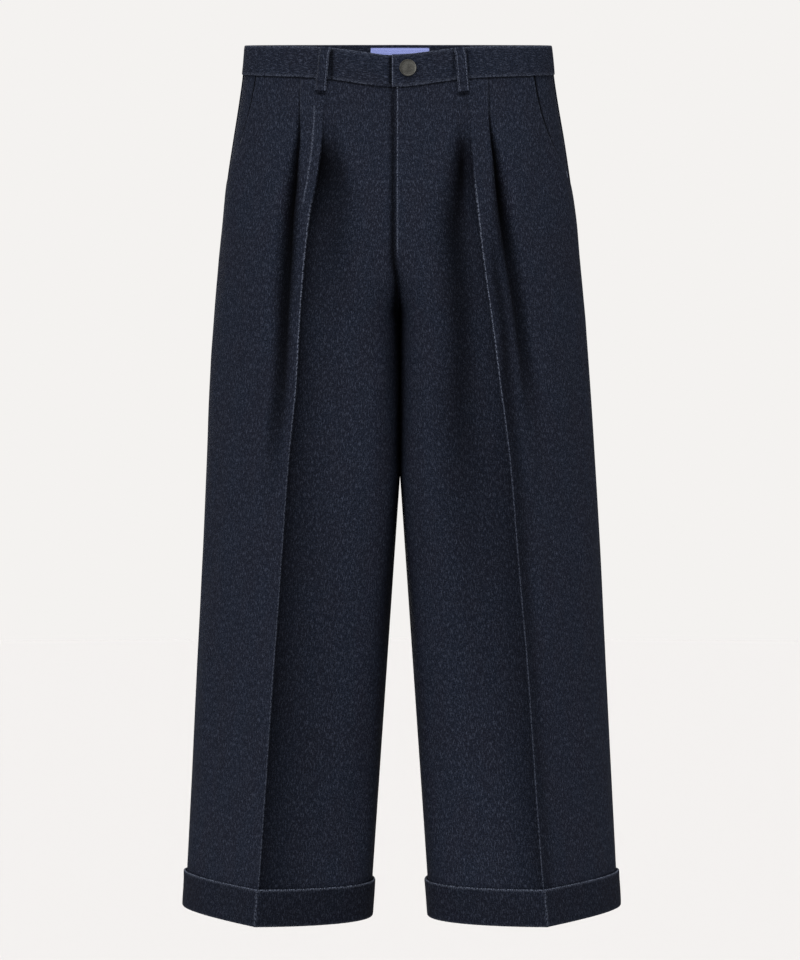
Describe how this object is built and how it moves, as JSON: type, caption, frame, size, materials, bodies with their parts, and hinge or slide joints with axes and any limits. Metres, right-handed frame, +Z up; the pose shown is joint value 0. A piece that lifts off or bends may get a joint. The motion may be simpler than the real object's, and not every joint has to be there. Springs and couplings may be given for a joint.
{
  "type": "jeans",
  "caption": "Wide-leg pleated denim jeans with pressed creases and turn-up cuffs, filled out as worn.",
  "frame": {"origin": "middle of the waist opening at half the waistband's height, where the wearer holds the jeans up", "axes": "+Z up, -Y the way the wearer faces, +X towards the wearer's left"},
  "size_m": [0.5392, 0.2509, 1.0673],
  "materials": {
    "denim": "dark indigo slub denim, matt",
    "gunmetal": "dark gunmetal plating, satin",
    "label": "woven lilac label, bare"
  },
  "bodies": {
    "root": {"front_right": "denim", "front_left": "denim", "back_right": "denim", "back_left": "denim", "pocket_facing_right": "denim", "pocket_facing_left": "denim", "fly_shield": "denim", "waistband": "denim", "cuff_right": "denim", "cuff_left": "denim", "belt_loop_front_right": "denim", "belt_loop_front_left": "denim", "belt_loop_back_right": "denim", "belt_loop_back_left": "denim", "belt_loop_back_centre": "denim", "waist_label": "label", "button": "gunmetal"}
  },
  "joints": []
}
